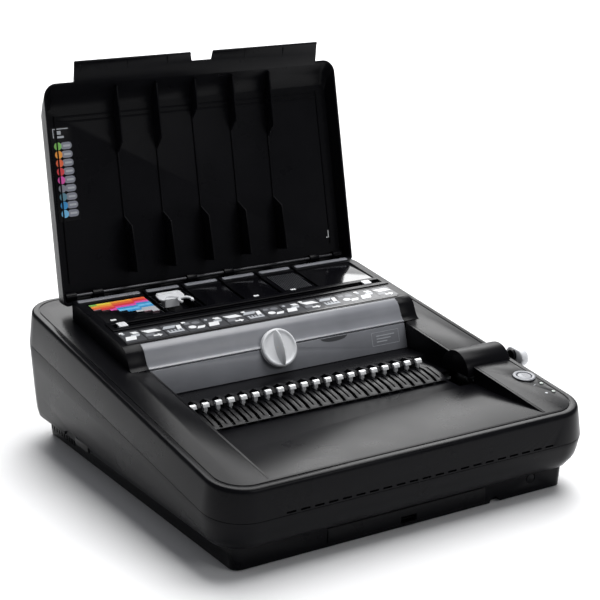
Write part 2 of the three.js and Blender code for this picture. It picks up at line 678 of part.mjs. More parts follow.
function makeLid() {
  const rear = 8;
  const shell = loft([
    lidRing(5, 3, -203, 9, LID_PANEL + LID_WALL),
    lidRing(2.6, 7, -209, 12, LID_PANEL + 0.4),
    lidRing(1.6, rear, -221, 14, -2),
    lidRing(0, rear, -231.3, 15, LID_RIM),
    lidRing(LID_WALL, rear - LID_WALL, -229, 13, LID_RIM),
    lidRing(LID_WALL + 1.6, rear - LID_WALL, -218.4, 12, -2),
    lidRing(4.9, 3, -203.4, 9, LID_PANEL),
  ]);
  const flange = prismX([
    [-227, LID_RIM - 0.1], [-229.8, LID_RIM + 2.4], [-240, LID_RIM - 1.6], [-252, -19.4],
    [-253.2, -21.6], [-251.2, -22.4], [-249.6, -21], [-239, LID_RIM - 4.2],
  ], FLANGE.x0, FLANGE.x1);
  const notch = box(NOTCH.x0, NOTCH.x1, -270, -243.5, -40, 10);
  const ribs = RIB_XS.map((x, i) => prismX(ribOutline(RIB_SHORT_BY[i]), x - 0.9, x + 0.9));
  const lugs = [-172, 172].flatMap((x) => [
    box(x - 6, x + 6, -3.4, 3.4, 0, LID_PANEL + 0.5),
    rodX(4.4, x - 6, x + 6, 0, 0, 12),
  ]);
  const posts = KNUCKLES.map((x) =>
    box(x - POST_HALF - 1.2, x + POST_HALF + 1.2, -1, 20, LID_RIM - 1, LID_PANEL - 0.3));
  const pin = rodX(2.5, -180, 180, 0, 0, 12);
  return cut(join([shell, flange.subtract(notch), ...ribs, ...lugs]), [...posts, pin]);
}

const FLANGE = { x0: -147, x1: 157 };
const NOTCH = { x0: -8, x1: 21 };

function makeLidLabel() {
  return box(-173, -148, -184, -82, LID_PANEL - 0.6, LID_PANEL - 0.3);
}

// ---- punch ----
function makeDie() {
  const block = prismX([
    [130, 84], [162, 84], [162, 112], [147.6, 112], [147.6, 88], [142.4, 88], [142.4, 112], [130, 112],
  ], -158, 158);
  const holes = [];
  for (let i = 0; i < PINS; i += 1) {
    const x = (i - (PINS - 1) / 2) * COMB_PITCH;
    holes.push(box(x - 4.3, x + 4.3, 120, 170, DIE_Z - 1.8, DIE_Z + 1.8));
  }
  return cut(block, holes);
}

function makePunchBar() {
  const bar = box(-150, 150, 174, 184, DIE_Z - 6, DIE_Z + 6);
  const pins = Array.from({ length: PINS }, (_, i) => {
    const x = (i - (PINS - 1) / 2) * COMB_PITCH;
    return box(x - 4, x + 4, 148.4, 175, DIE_Z - 1.5, DIE_Z + 1.5);
  });
  return join([bar, ...pins]);
}

function makeMainShaft() {
  const cams = [-60, 60].map((x) => rodX(CAM_RADIUS, x - 4, x + 4, SHAFT_Y + CAM_OFFSET, DIE_Z, 28));
  return join([rodX(6, -166, 166, SHAFT_Y, DIE_Z, 20), ...cams]);
}

function makeSidePlate(x) {
  const plate = box(x - 1.5, x + 1.5, 122, 232, 31, 118);
  return cut(plate, [rodX(6.3, x - 10, x + 10, SHAFT_Y, DIE_Z, 20)]);
}

const GEAR_X = 151;
const meshAngle = Math.atan2(MOTOR.z - DIE_Z, MOTOR.y - SHAFT_Y);

function makeMainGear() {
  return gearX(GEAR_TEETH, GEAR_MODULE, 6, 6.3, GEAR_X, SHAFT_Y, DIE_Z, meshAngle);
}

function makeMotorPinion() {
  const half = Math.PI / PINION_TEETH;
  return gearX(PINION_TEETH, GEAR_MODULE, 6, 3.3, GEAR_X, MOTOR.y, MOTOR.z, meshAngle + Math.PI + half);
}

function makeMotor() {
  return join([rodX(21, 78, 145.6, MOTOR.y, MOTOR.z, 24), rodX(3, 140, 157.4, MOTOR.y, MOTOR.z, 16)]);
}

function makeMotorBracket() {
  const plate = box(146, 148.4, 206, 250, 31, 88);
  const foot = box(126, 147, 206, 250, 31, 33.4);
  return cut(join([plate, foot]), [rodX(3.4, 140, 152, MOTOR.y, MOTOR.z, 16)]);
}

function makeChassis() {
  const plate = box(-184, 184, 84, 256, 28.6, 30.6);
  return plate.subtract(box(-90, 90, 106, 148, 20, 40));
}

// ---- electrics and controls ----
const INLET = { x: -140, z: 62 };
const SWITCH = { x: -104, z: 62 };
const INLET_FACE = 290;          // the socket's flange stands proud of the back wall

function makeInlet() {
  const flange = box(INLET.x - 17, INLET.x + 17, 288.6, INLET_FACE, INLET.z - 13, INLET.z + 13);
  const body = box(INLET.x - 14, INLET.x + 14, 268, 289, INLET.z - 10, INLET.z + 10);
  const socket = box(INLET.x - 12, INLET.x + 12, 272, 295, INLET.z - 8, INLET.z + 8);
  const blades = [[-7, -3.5, 1], [0, 1, 4.5], [7, -3.5, 1]].map(([x, low, high]) =>
    box(INLET.x + x - 1, INLET.x + x + 1, 270, 286, INLET.z + low, INLET.z + high));
  return join([flange.add(body).subtract(socket), ...blades]);
}

function makeSwitchFrame() {
  const flange = box(SWITCH.x - 12, SWITCH.x + 12, 288.6, INLET_FACE, SWITCH.z - 9, SWITCH.z + 9);
  const body = box(SWITCH.x - 10, SWITCH.x + 10, 272, 289, SWITCH.z - 7, SWITCH.z + 7);
  const opening = box(SWITCH.x - 8.4, SWITCH.x + 8.4, 276, 295, SWITCH.z - 5.4, SWITCH.z + 5.4);
  return cut(flange.add(body), [opening]);
}

function makeRocker() {
  const shape = new THREE.Shape();
  shape.moveTo(-7.4, -2.4);
  shape.lineTo(7.4, -2.4);
  shape.lineTo(7.4, 2.6);
  shape.lineTo(0, 0.6);
  shape.lineTo(-7.4, 1.4);
  const geometry = new THREE.ExtrudeGeometry(shape, { depth: 9.6, bevelEnabled: false });
  geometry.translate(SWITCH.x, 286, SWITCH.z - 4.8);
  return solid(geometry);
}

// pieces on the right strip share its slope
function stripPiece(geometry, x, y, up) {
  geometry.rotateX(Math.PI / 2 + SLOPE_ANGLE);
  geometry.translate(x, y, rimZ(y) + up);
  return solid(geometry);
}

const makeButton = () => stripPiece(new THREE.CylinderGeometry(7.4, 7.8, 7, 24), BUTTON.x, BUTTON.y, -2.3);

function makeButtonRing() {
  const profile = [[8.4, -5], [10, -5], [10, 0.4], [12, 0.4], [12, 1.1], [10.6, 1.7], [8.4, 1.4]];
  const points = profile.map(([r, z]) => new THREE.Vector2(r, z));
  points.push(points[0].clone());
  const geometry = new THREE.LatheGeometry(points, 28);
  geometry.rotateX(Math.PI / 2 + SLOPE_ANGLE);
  geometry.translate(BUTTON.x, BUTTON.y, rimZ(BUTTON.y));
  return outward(geometry);
}

const makeLamp = ([x, y]) => stripPiece(new THREE.CylinderGeometry(2.1, 2.1, 5, 12), x, y, -2);

function makeControlBoard() {
  const geometry = new THREE.BoxGeometry(36, 86, 1.6);
  geometry.rotateX(SLOPE_ANGLE);
  geometry.translate(186, -104, rimZ(-104) - 14);
  return solid(geometry);
}

const makePowerBoard = () => join([
  box(-156, -60, 206, 254, 38, 39.6),
  box(-150, -122, 216, 246, 39, 62),
  box(-108, -92, 212, 226, 39, 56),
  box(-84, -66, 230, 250, 39, 52),
]);

function makeScrew(x, y) {
  const profile = [[0, 0], [4, 0], [4, 2.2], [1.6, 2.2], [1.6, 12], [0, 12]];
  const geometry = new THREE.LatheGeometry(profile.map(([r, z]) => new THREE.Vector2(r, z)), 14);
  geometry.rotateX(Math.PI / 2);
  geometry.translate(x, y, 0);
  return outward(geometry);
}

// ---- assembly ----
const SCREW_SPOTS = [[-150, -136], [150, -136], [-150, 258], [150, 258]];
const screwHoles = SCREW_SPOTS.map(([x, y]) =>
  join([rodZ(4.4, 0, 4.2, x, y, 14), rodZ(2, 0, 30, x, y, 12)]));

place('base_tub', cut(makeBase(), screwHoles), look.shell);
place('chip_drawer', makeDrawer(), look.shell);
['front_left', 'front_right', 'rear_left', 'rear_right'].forEach((corner, i) => {
  const foot = place(`foot_${corner}`, makeFoot(), look.rubber);
  foot.position.set(FOOT_SPOTS[i][0], FOOT_SPOTS[i][1], 0);
  place(`base_screw_${corner}`, makeScrew(...SCREW_SPOTS[i]), look.steel).position.z = 1.8;
});
place('lower_casing', makeLowerCasing(), look.shell);
place('upper_casing', makeUpperCasing(), look.shell);
place('paper_tray', makeTray(), look.shell);
place('comb_plate', makeCombPlate(), look.shell);
place('hook_bar', makeHookBar(), look.brightSteel);
place('hook_rack', makeHookRack(), look.steel);
place('lever_pinion', makeLeverPinion(), look.steel);
place('lever_shaft', makeLeverShaft(), look.steel);
place('comb_lever', makeLeverArm(), look.shell);
place('lever_grip', makeLeverGrip(), look.white);
place('lever_boss', makeBoss(), look.shell);
place('punch_housing', makeDeck(), look.shell);
place('front_panel', makeFrontPanel(), look.darkGrey);
place('lower_panel', makeLowerPanel(), look.darkGrey);
place('edge_knob', makeKnob(), look.white);
place('knob_pinion', makeKnobShaft(), look.brass);
place('edge_guide_left', makeGuide(-1), look.white);
place('edge_guide_right', makeGuide(1), look.white);
place('throat_frame', makeThroatFrame(), look.shell);
place('label_strip', makeLabelStrip(), look.strip);
place('rear_panel', makeRearPanel(), look.gloss);
place('size_chart', makeSizeChart(), look.chart);
place('gauge_well', makeGaugeWell(), look.shell);
place('comb_gauge', makeGauge(), look.white);
place('hinge_rail', makeHingeRail(), look.shell);
place('hinge_pin', makeHingePin(), look.steel);
place('punch_die', makeDie(), look.steel);
place('punch_bar', makePunchBar(), look.steel);
place('main_shaft', makeMainShaft(), look.steel);
place('main_gear', makeMainGear(), look.brass);
place('motor_pinion', makeMotorPinion(), look.brass);
place('motor', makeMotor(), look.steel);
place('motor_bracket', makeMotorBracket(), look.steel);
place('side_plate_left', makeSidePlate(-160.3), look.steel);
place('side_plate_right', makeSidePlate(160.3), look.steel);
place('chassis_plate', makeChassis(), look.steel);
place('power_inlet', makeInlet(), look.shell);
place('switch_frame', makeSwitchFrame(), look.shell);
place('power_rocker', makeRocker(), look.shell);
place('punch_button', makeButton(), look.darkGrey);
place('button_ring', makeButtonRing(), look.darkGrey);
place('indicator_front', makeLamp(LAMPS[1]), look.lens);
place('indicator_rear', makeLamp(LAMPS[0]), look.lens);
place('control_board', makeControlBoard(), look.board);
place('power_board', makePowerBoard(), look.board);

// the lid is written shut and level, then turned open about its pin
const lid = new THREE.Group();
lid.position.set(0, HINGE.y, HINGE.z);
lid.rotation.x = SLOPE_ANGLE - LID_OPEN;
machine.add(lid);
place('lid_shell', makeLid(), look.shell, lid);
place('lid_label', makeLidLabel(), look.strip, lid);

// origin: centre of the footprint, on the table
const GRIP_OUT = 231.8;          // the lever grip is the rightmost point
machine.position.set(-(GRIP_OUT - CASE_HALF) / 2, -(CASE_FRONT + INLET_FACE) / 2, 0);

export default machine;
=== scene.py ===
# Looks of the comb binding machine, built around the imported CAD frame.
# Lengths are in millimetres on the casing's own axes until `at` turns them into metres in the row frame.
import json
import math

import bmesh
import bpy
from mathutils import Matrix, Vector


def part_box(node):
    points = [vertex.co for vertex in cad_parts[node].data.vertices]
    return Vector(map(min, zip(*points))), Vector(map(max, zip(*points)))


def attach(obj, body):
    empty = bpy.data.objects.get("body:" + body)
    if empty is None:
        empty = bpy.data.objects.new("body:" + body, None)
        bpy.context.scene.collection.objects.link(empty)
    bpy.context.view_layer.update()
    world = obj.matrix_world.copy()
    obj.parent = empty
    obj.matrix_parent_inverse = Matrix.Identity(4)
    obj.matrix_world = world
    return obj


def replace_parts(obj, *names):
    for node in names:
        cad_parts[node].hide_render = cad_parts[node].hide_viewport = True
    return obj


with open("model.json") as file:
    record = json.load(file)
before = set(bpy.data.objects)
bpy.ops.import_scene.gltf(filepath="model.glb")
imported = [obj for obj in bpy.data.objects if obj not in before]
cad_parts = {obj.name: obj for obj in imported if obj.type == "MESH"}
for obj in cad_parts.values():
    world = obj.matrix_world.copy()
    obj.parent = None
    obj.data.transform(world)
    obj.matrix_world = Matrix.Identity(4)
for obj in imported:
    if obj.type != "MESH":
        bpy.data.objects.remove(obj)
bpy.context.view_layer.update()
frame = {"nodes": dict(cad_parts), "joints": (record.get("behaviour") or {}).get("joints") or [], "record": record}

NODES = frame["nodes"]
BODY_OF = {n: b for b, ns in frame["record"]["behaviour"]["bodies"].items() for n in ns}
SLOT_OF = {row["node"]: row["material_slot"] for row in frame["record"]["subparts"]}
JOINTS = {j["name"]: j for j in frame["joints"]}

# ---- driving dimensions, mm ----
MM = 0.001
CASE_HALF, CASE_FRONT, CASE_BACK = 216.0, -181.0, 289.0
CASE_WALL = 3.0
RIM_LEVEL, RIM_SLOPE = 112.2, 0.14194
PART_LEVEL, PART_SLOPE = 79.12, 0.1316
DECK_RISE = 20.2
LID_HALF, LID_TAPER, LID_REACH = 186.0, 3.0, 206.0
LID_RIM, LID_PANEL, LID_WALL = -13.8, 5.7, 2.3
LID_LEAN = math.radians(8.52)
RIB_XS = [-96, -48, 0, 48, 96]
RIB_SHORT = [0, 0, 29, 11, 0]
KNUCKLES = [-140, -24, 24, 140]
KNUCKLE_GAP = 7.2
DASHES, DASH_PITCH, DASH_LENGTH = 21, 14.93, 10
SLATS, SLAT_PITCH, SLAT_WIDTH = 10, 7, 3
INLET_MOUTH = (-154.4, -125.6), (276, 295), (51.6, 72.4)
SWITCH_MOUTH = (-114.4, -93.6), (276, 295), (54.6, 69.4)
SHAFT_HOLE = {"radius": 5.4, "low": 200, "high": 230, "a": -22, "b": 79.8}
BUTTON_SPOT = (193, -92)
LAMP_SPOTS = (199.5, -112), (199, -132)
CORNER_STEPS = 14
ROUNDED_STEPS = 5
ROD_STEPS = 40
SMOOTH_BELOW = 38  # degrees between faces that are shaded as one surface
BEVEL_ABOVE = 28  # degrees between faces that get a bevel
WELD = 1e-6

# ---- camera and light, metres in the row frame ----
CAMERA_PLACE = (-0.81394, -1.35131, 0.62263)
CAMERA_LOOK = (0.49693, 0.82402, -0.27212)
CAMERA_ROLL = math.radians(-0.64)
CAMERA_LENS, CAMERA_SENSOR = 93.65, 36
CAMERA_NEAR, CAMERA_FAR = 0.05, 60
WORLD_TINT, WORLD_STRENGTH = (0.93, 0.95, 1.0, 1), 0.19
MACHINE_MIDDLE = (0, 0.05, 0.12)

casing_low, casing_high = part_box("upper_casing")
ORIGIN = Vector(((casing_low.x + casing_high.x) / 2, casing_low.y - CASE_FRONT * MM, 0))
HINGE = Vector(JOINTS["lid_hinge"]["pos_m"])


def rim_z(y):
    return RIM_LEVEL + RIM_SLOPE * y


def deck_z(y):
    return rim_z(y) + DECK_RISE


def at(x, y, z):
    """Casing axes in mm to the row frame in metres."""
    return ORIGIN + Vector((x, y, z)) * MM


def on_lid(x, s, t):
    """Lid axes in mm: s from the hinge to the free end, t from the hinge axis to the panel."""
    y = s * math.sin(LID_LEAN) + t * math.cos(LID_LEAN)
    z = s * math.cos(LID_LEAN) - t * math.sin(LID_LEAN)
    return Vector((HINGE.x + x * MM, HINGE.y + y * MM, HINGE.z + z * MM))


# ---- materials ----
BROAD_SCALE = 18.0
GRAIN_HEIGHT = 0.00006
SMOOTHEST = 0.03


def node(tree, kind, **inputs):
    made = tree.nodes.new(kind)
    for name, value in inputs.items():
        made.inputs[name.replace("_", " ")].default_value = value
    return made


def surface(name, colour, roughness, metallic=0.0, grain=1400.0, bump=0.25, mottle=0.12, spread=0.08,
            brushed=None, specular=0.5):
    """Principled material with fine moulded or brushed grain, uneven gloss and slight colour drift."""
    made = bpy.data.materials.new(name)
    made.use_nodes = True
    tree = made.node_tree
    shader = tree.nodes["Principled BSDF"]
    shader.inputs["Metallic"].default_value = metallic
    shader.inputs["Specular IOR Level"].default_value = specular
    place = tree.nodes.new("ShaderNodeTexCoord")
    stretch = node(tree, "ShaderNodeMapping", Scale=brushed or (1, 1, 1))
    tree.links.new(place.outputs["Object"], stretch.inputs["Vector"])
    fine = node(tree, "ShaderNodeTexNoise", Scale=grain, Detail=3.0)
    broad = node(tree, "ShaderNodeTexNoise", Scale=BROAD_SCALE, Detail=5.0)
    tree.links.new(stretch.outputs["Vector"], fine.inputs["Vector"])
    tree.links.new(place.outputs["Object"], broad.inputs["Vector"])
    lift = node(tree, "ShaderNodeBump", Strength=bump, Distance=GRAIN_HEIGHT)
    tree.links.new(fine.outputs["Fac"], lift.inputs["Height"])
    tree.links.new(lift.outputs["Normal"], shader.inputs["Normal"])
    gloss = node(tree, "ShaderNodeMapRange")
    gloss.inputs["To Min"].default_value = max(roughness - spread, SMOOTHEST)
    gloss.inputs["To Max"].default_value = roughness + spread
    tree.links.new(broad.outputs["Fac"], gloss.inputs["Value"])
    tree.links.new(gloss.outputs["Result"], shader.inputs["Roughness"])
    ramp = tree.nodes.new("ShaderNodeValToRGB")
    ramp.color_ramp.elements[0].position = 0.3
    ramp.color_ramp.elements[1].position = 0.7
    ramp.color_ramp.elements[0].color = [c * (1 - mottle) for c in colour] + [1]
    ramp.color_ramp.elements[1].color = [min(c * (1 + mottle), 1) for c in colour] + [1]
    tree.links.new(broad.outputs["Fac"], ramp.inputs["Fac"])
    tree.links.new(ramp.outputs["Color"], shader.inputs["Base Color"])
    return made


LOOKS = {
    "shell": surface("black_moulded_plastic", (0.003, 0.003, 0.004), 0.29, grain=1700, bump=0.3,
                     specular=0.09),
    "grey_panel": surface("grey_satin_panel", (0.2, 0.206, 0.226), 0.34, grain=2100, bump=0.2),
    "gloss_black": surface("gloss_black_plastic", (0.003, 0.003, 0.004), 0.12, grain=700, bump=0.04,
                           spread=0.03, specular=0.4),
    "white_plastic": surface("white_plastic", (0.70, 0.71, 0.73), 0.38, grain=1500, bump=0.12, mottle=0.03),
    "hooks": surface("bright_hooks", (0.86, 0.87, 0.88), 0.3, metallic=0.2, grain=900, bump=0.08,
                     mottle=0.03),
    "steel": surface("plated_steel", (0.56, 0.57, 0.59), 0.3, metallic=1.0, brushed=(1, 14, 14), grain=300,
                     bump=0.15),
    "dark_steel": surface("blackened_steel", (0.03, 0.03, 0.033), 0.35, metallic=0.8, grain=400, bump=0.1),
    "brass": surface("machined_brass", (0.72, 0.55, 0.28), 0.3, metallic=1.0, grain=500, bump=0.1),
    "rubber": surface("rubber", (0.018, 0.018, 0.018), 0.85, grain=900, bump=0.5),
    "label": surface("printed_film", (0.012, 0.012, 0.014), 0.3, grain=800, bump=0.04, specular=0.4),
    "chart": surface("chart_film", (0.5, 0.3, 0.35), 0.35, grain=800, bump=0.04),
    "lens": surface("lamp_lens", (0.30, 0.34, 0.31), 0.18, grain=600, bump=0.03),
    "board": surface("circuit_board", (0.03, 0.13, 0.06), 0.4, grain=500, bump=0.2),
}
INK = {
    name: surface(f"ink_{name}", colour, 0.42, grain=900, bump=0.05, mottle=0.05)
    for name, colour in {
        "white": (0.80, 0.81, 0.82), "pale": (0.42, 0.44, 0.47), "grey": (0.16, 0.165, 0.18),
        "dim": (0.045, 0.047, 0.053), "green": (0.20, 0.50, 0.10), "yellow": (0.78, 0.62, 0.06),
        "orange": (0.85, 0.33, 0.04), "vermilion": (0.78, 0.13, 0.04), "red": (0.68, 0.04, 0.05),
        "pink": (0.68, 0.08, 0.38), "slate": (0.22, 0.23, 0.27), "teal": (0.09, 0.23, 0.30),
        "blue": (0.03, 0.27, 0.58), "sky": (0.16, 0.48, 0.76),
    }.items()
}


# ---- mesh building ----
def finish_piece(obj, body, material, slot=None, smooth=SMOOTH_BELOW):
    obj.data.materials.clear()
    obj.data.materials.append(material)
    obj.data.polygons.foreach_set("use_smooth", [True] * len(obj.data.polygons))
    obj.data.set_sharp_from_angle(angle=math.radians(smooth))
    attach(obj, body)
    return obj


def new_object(name, points, faces):
    mesh = bpy.data.meshes.new(name)
    mesh.from_pydata([tuple(p) for p in points], [], faces)
    mesh.validate()
    tidy = bmesh.new()
    tidy.from_mesh(mesh)
    bmesh.ops.recalc_face_normals(tidy, faces=tidy.faces)
    tidy.to_mesh(mesh)
    tidy.free()
    made = bpy.data.objects.new(name, mesh)
    bpy.context.scene.collection.objects.link(made)
    return made


def plan_ring(half, front, back, r_front, r_back, level, slope):
    """Rounded rectangle in plan at a height that may slope along Y."""
    corners = [
        (half - r_front, front + r_front, r_front, -90), (half - r_back, back - r_back, r_back, 0),
        (-half + r_back, back - r_back, r_back, 90), (-half + r_front, front + r_front, r_front, 180),
    ]
    points = []
    for cx, cy, radius, start in corners:
        for k in range(CORNER_STEPS + 1):
            angle = math.radians(start + 90 * k / CORNER_STEPS)
            x, y = cx + radius * math.cos(angle), cy + radius * math.sin(angle)
            points.append((x, y, level + slope * y))
    return points


def eased(rows, between=3):
    """Catmull-Rom rows between the given ones."""
    def blended(p, q, r, s, u):
        bend = 2 * p - 5 * q + 4 * r - s
        twist = 3 * q - p - 3 * r + s
        return 0.5 * (2 * q + (r - p) * u + bend * u**2 + twist * u**3)

    made = []
    for i in range(len(rows) - 1):
        near = [rows[max(i - 1, 0)], rows[i], rows[i + 1], rows[min(i + 2, len(rows) - 1)]]
        made += [tuple(blended(*values, k / between) for values in zip(*near)) for k in range(between)]
    return made + [rows[-1]]


def loft(name, rings, place, closed=False):
    count = len(rings[0])
    points = [place(*p) for ring in rings for p in ring]
    faces = []
    for i in range(len(rings) if closed else len(rings) - 1):
        a, b = i * count, ((i + 1) % len(rings)) * count
        faces += [(a + j, a + (j + 1) % count, b + (j + 1) % count, b + j) for j in range(count)]
    if not closed:
        last = (len(rings) - 1) * count
        faces += [tuple(range(count))[::-1], tuple(range(last, last + count))]
    return new_object(name, points, faces)


def prism(name, outline, place, low, high):
    """Outline of (u, v) drawn out from low to high; place takes (u, v, h)."""
    count = len(outline)
    points = [place(u, v, low) for u, v in outline] + [place(u, v, high) for u, v in outline]
    faces = [tuple(range(count))[::-1], tuple(range(count, 2 * count))]
    faces += [(j, (j + 1) % count, count + (j + 1) % count, count + j) for j in range(count)]
    return new_object(name, points, faces)


def rectangle(x0, x1, y0, y1):
    return [(x0, y0), (x1, y0), (x1, y1), (x0, y1)]


def block(name, x, y, z):
    return prism(name, rectangle(*x, *y), at, *z)


def circle(cx, cy, radius, steps=24, squash=1.0):
    turns = [2 * math.pi * k / steps for k in range(steps)]
    return [(cx + radius * math.cos(a), cy + squash * radius * math.sin(a)) for a in turns]


def rounded(x0, x1, y0, y1, radius):
    corners = [(x1 - radius, y0 + radius, -90), (x1 - radius, y1 - radius, 0),
               (x0 + radius, y1 - radius, 90), (x0 + radius, y0 + radius, 180)]
    points = []
    for cx, cy, start in corners:
        turns = [math.radians(start + 90 * k / ROUNDED_STEPS) for k in range(ROUNDED_STEPS + 1)]
        points += [(cx + radius * math.cos(a), cy + radius * math.sin(a)) for a in turns]
    return points


def joined(name, parts):
    """One object from several closed solids."""
    whole = bmesh.new()
    for part in parts:
        whole.from_mesh(part.data)
        bpy.data.objects.remove(part)
    mesh = bpy.data.meshes.new(name)
    whole.to_mesh(mesh)
    whole.free()
    made = bpy.data.objects.new(name, mesh)
    bpy.context.scene.collection.objects.link(made)
    return made


def bake_modifiers(obj):
    bpy.context.view_layer.update()
    mesh = bpy.data.meshes.new_from_object(obj.evaluated_get(bpy.context.evaluated_depsgraph_get()))
    obj.modifiers.clear()
    obj.data = mesh
    return obj


def carved(obj, tools):
    for tool in tools:
        step = obj.modifiers.new("cut", "BOOLEAN")
        step.operation, step.solver, step.object = "DIFFERENCE", "EXACT", tool
    bake_modifiers(obj)
    for tool in tools:
        bpy.data.objects.remove(tool)
    return obj


def bevelled(obj, width, segments=3):
    step = obj.modifiers.new("edge", "BEVEL")
    step.width, step.segments, step.limit_method = width * MM, segments, "ANGLE"
    step.angle_limit, step.use_clamp_overlap = math.radians(BEVEL_ABOVE), True
    return bake_modifiers(obj)


def refined(name, node_name, width, look=None):
    """Bevelled, smooth-shaded copy of a CAD node that stands for it."""
    source = NODES[node_name]
    mesh = source.data.copy()
    mesh.name = name
    work = bmesh.new()
    work.from_mesh(mesh)
    bmesh.ops.remove_doubles(work, verts=work.verts, dist=WELD)
    bmesh.ops.dissolve_limit(work, angle_limit=math.radians(1), verts=work.verts, edges=work.edges)
    work.to_mesh(mesh)
    work.free()
    if "custom_normal" in mesh.attributes:
        mesh.attributes.remove(mesh.attributes["custom_normal"])
    made = bpy.data.objects.new(name, mesh)
    bpy.context.scene.collection.objects.link(made)
    bevelled(made, width)
    finish_piece(made, BODY_OF[node_name], look or LOOKS[SLOT_OF[node_name]], SLOT_OF[node_name])
    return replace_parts(made, node_name)


def stand_for(obj, node_name, smooth=SMOOTH_BELOW):
    slot = SLOT_OF[node_name]
    finish_piece(obj, BODY_OF[node_name], LOOKS[slot], slot, smooth)
    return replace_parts(obj, node_name)


# ---- casings and base ----
def across(y, z, x):
    """Place of an outline drawn in Y and Z and drawn out along X."""
    return at(x, y, z)


def along_y(x, z, y):
    """Place of an outline drawn in X and Z and drawn out along Y."""
    return at(x, y, z)


def rod_along(axis, radius, low, high, a, b):
    """Cylinder along x, y or z; a and b are its centre on the other two axes, in order."""
    places = {"x": across, "y": along_y, "z": at}
    return prism("tool", circle(a, b, radius, ROD_STEPS), places[axis], low, high)


def upper_shell():
    def rim(inset_x, inset_front, inset_back, radius, drop):
        return (CASE_HALF - inset_x, CASE_FRONT + inset_front, CASE_BACK - inset_back, radius, radius,
                RIM_LEVEL - drop, RIM_SLOPE)

    foot = PART_LEVEL + 0.5
    outer = [(CASE_HALF, CASE_FRONT, CASE_BACK, 40, 40, foot, PART_SLOPE), rim(4, 1.5, 2.5, 37, 5)]
    edge_steps, edge_width, edge_height = 6, 3.2, 5
    for k in range(1, edge_steps + 1):
        turn = math.radians(90 * k / edge_steps)
        out = edge_width * (1 - math.cos(turn))
        drop = edge_height * (1 - math.sin(turn))
        outer.append(rim(4 + out, 1.5 + out, 2.5 + out, 37 - out, drop))
    groove_rows = ((0, 0), (0.2, 0.8), (1.3, 0.8), (1.5, 0))
    groove = [rim(11.6 + d, 9 + d, 9.6 + d, 31 - d, drop) for d, drop in groove_rows]
    inner = [rim(7.5, 5.5, 6, 33, CASE_WALL),
             (CASE_HALF - CASE_WALL, CASE_FRONT + CASE_WALL, CASE_BACK - CASE_WALL, 37, 37, foot, PART_SLOPE)]
    shell = loft("upper_shell", [plan_ring(*row) for row in inner + outer + groove], at)
    tools = [
        block("tool", (-160.4, 160.4), (-166.4, 76), (60, 200)),
        block("tool", (-172.5, 172.5), (75, 218.5), (90, 200)),
        rod_along("x", 23.9, 140, 207.9, -29.5, 95),
        rod_along("z", 10.6, 80, 130, *BUTTON_SPOT),
        rod_along("x", **SHAFT_HOLE),
    ]
    tools += [rod_along("z", 2.6, 80, 130, x, y) for x, y in LAMP_SPOTS]
    dashes = [DASH_PITCH * (i - DASHES // 2) for i in range(DASHES)]
    tools += [block("tool", (x, x + DASH_LENGTH), (-184, -173), (57.2, 59)) for x in dashes]
    return stand_for(bevelled(carved(shell, tools), 0.35, 2), "upper_casing")


def lower_shell():
    skin = eased([(195.5, -161, 275.5, 12, 12, 24.3, 0), (201.5, -166, 279.5, 24, 24, 25.6, 0),
                  (206, -170, 283, 34, 34, 28.2, 0), (212, -177, 287, 38, 38, 38, 0),
                  (216, -181, 289, 40, 40, PART_LEVEL, PART_SLOPE)])
    inside = [(213, -178, 286, 37, 37, PART_LEVEL, PART_SLOPE), (209, -174, 284, 35, 35, 40, 0),
              (200, -164, 278, 28, 28, 31, 0), (182, -144, 263, 12, 12, 27.3, 0),
              (182, -144, 263, 12, 12, 24.3, 0)]
    shell = loft("lower_shell", [plan_ring(*row) for row in skin + inside], at, closed=True)
    tools = [block("tool", *INLET_MOUTH), block("tool", *SWITCH_MOUTH), rod_along("x", **SHAFT_HOLE)]
    grip = [(78, 22), (188, 22), (182, 34), (168, 40), (122, 37), (94, 31)]
    tools.append(prism("tool", grip, across, -220, -208.4))
    bevelled(carved(shell, tools), 0.35, 2)
    latch = bevelled(prism("latch", rounded(124, 158, 27.4, 35.4, 2), across, -209.6, -206), 0.8, 3)
    return stand_for(joined("lower_shell_and_latch", [shell, latch]), "lower_casing")


def base_shell():
    rows = [(192.2, -157.2, 272.2, 9, 9, 1.5, 0), (194, -159, 274, 10, 10, 24, 0),
            (191, -156, 271, 7, 7, 24, 0), (189.5, -154.5, 269.5, 6, 6, 5, 0)]
    shell = loft("base_shell", [plan_ring(*row) for row in rows], at)
    drawer_mouth = block("tool", (-92.4, 92.4), (-164, -151), (5, 21))
    thumb_notch = rod_along("y", 6.5, -164, -151, 106, 0.8)
    slats = [198 + SLAT_PITCH * i for i in range(SLATS)]
    tools = [drawer_mouth, thumb_notch]
    tools += [block("tool", (-196, -186), (y, y + SLAT_WIDTH), (8, 20)) for y in slats]
    tools += [rod_along("z", 11.4, 0.5, 4, x, y) for x in (-165, 165) for y in (-128, 246)]
    tools += [rod_along("z", 4.4, 0, 4.2, x, y) for x in (-150, 150) for y in (-136, 258)]
    core = rod_along("y", 4.6, -165, -156, 150, 17)
    tools.append(carved(rod_along("y", 6.0, -164, -157.4, 150, 17), [core]))
    return stand_for(bevelled(carved(shell, tools), 0.4, 2), "base_tub")


# ---- lid ----
def lid_ring(inset, rear, front, radius, level):
    ring = plan_ring(LID_HALF - inset, front, rear, radius, 5, level, 0)
    return [(x * (LID_HALF + LID_TAPER * min(y, 0) / LID_REACH) / LID_HALF, -y, t) for x, y, t in ring]


def across_lid(s, t, x):
    return on_lid(x, s, t)


def lid_plate(outline, x0, x1):
    """Outline of (s, t) drawn out along X."""
    return prism("plate", outline, across_lid, x0, x1)


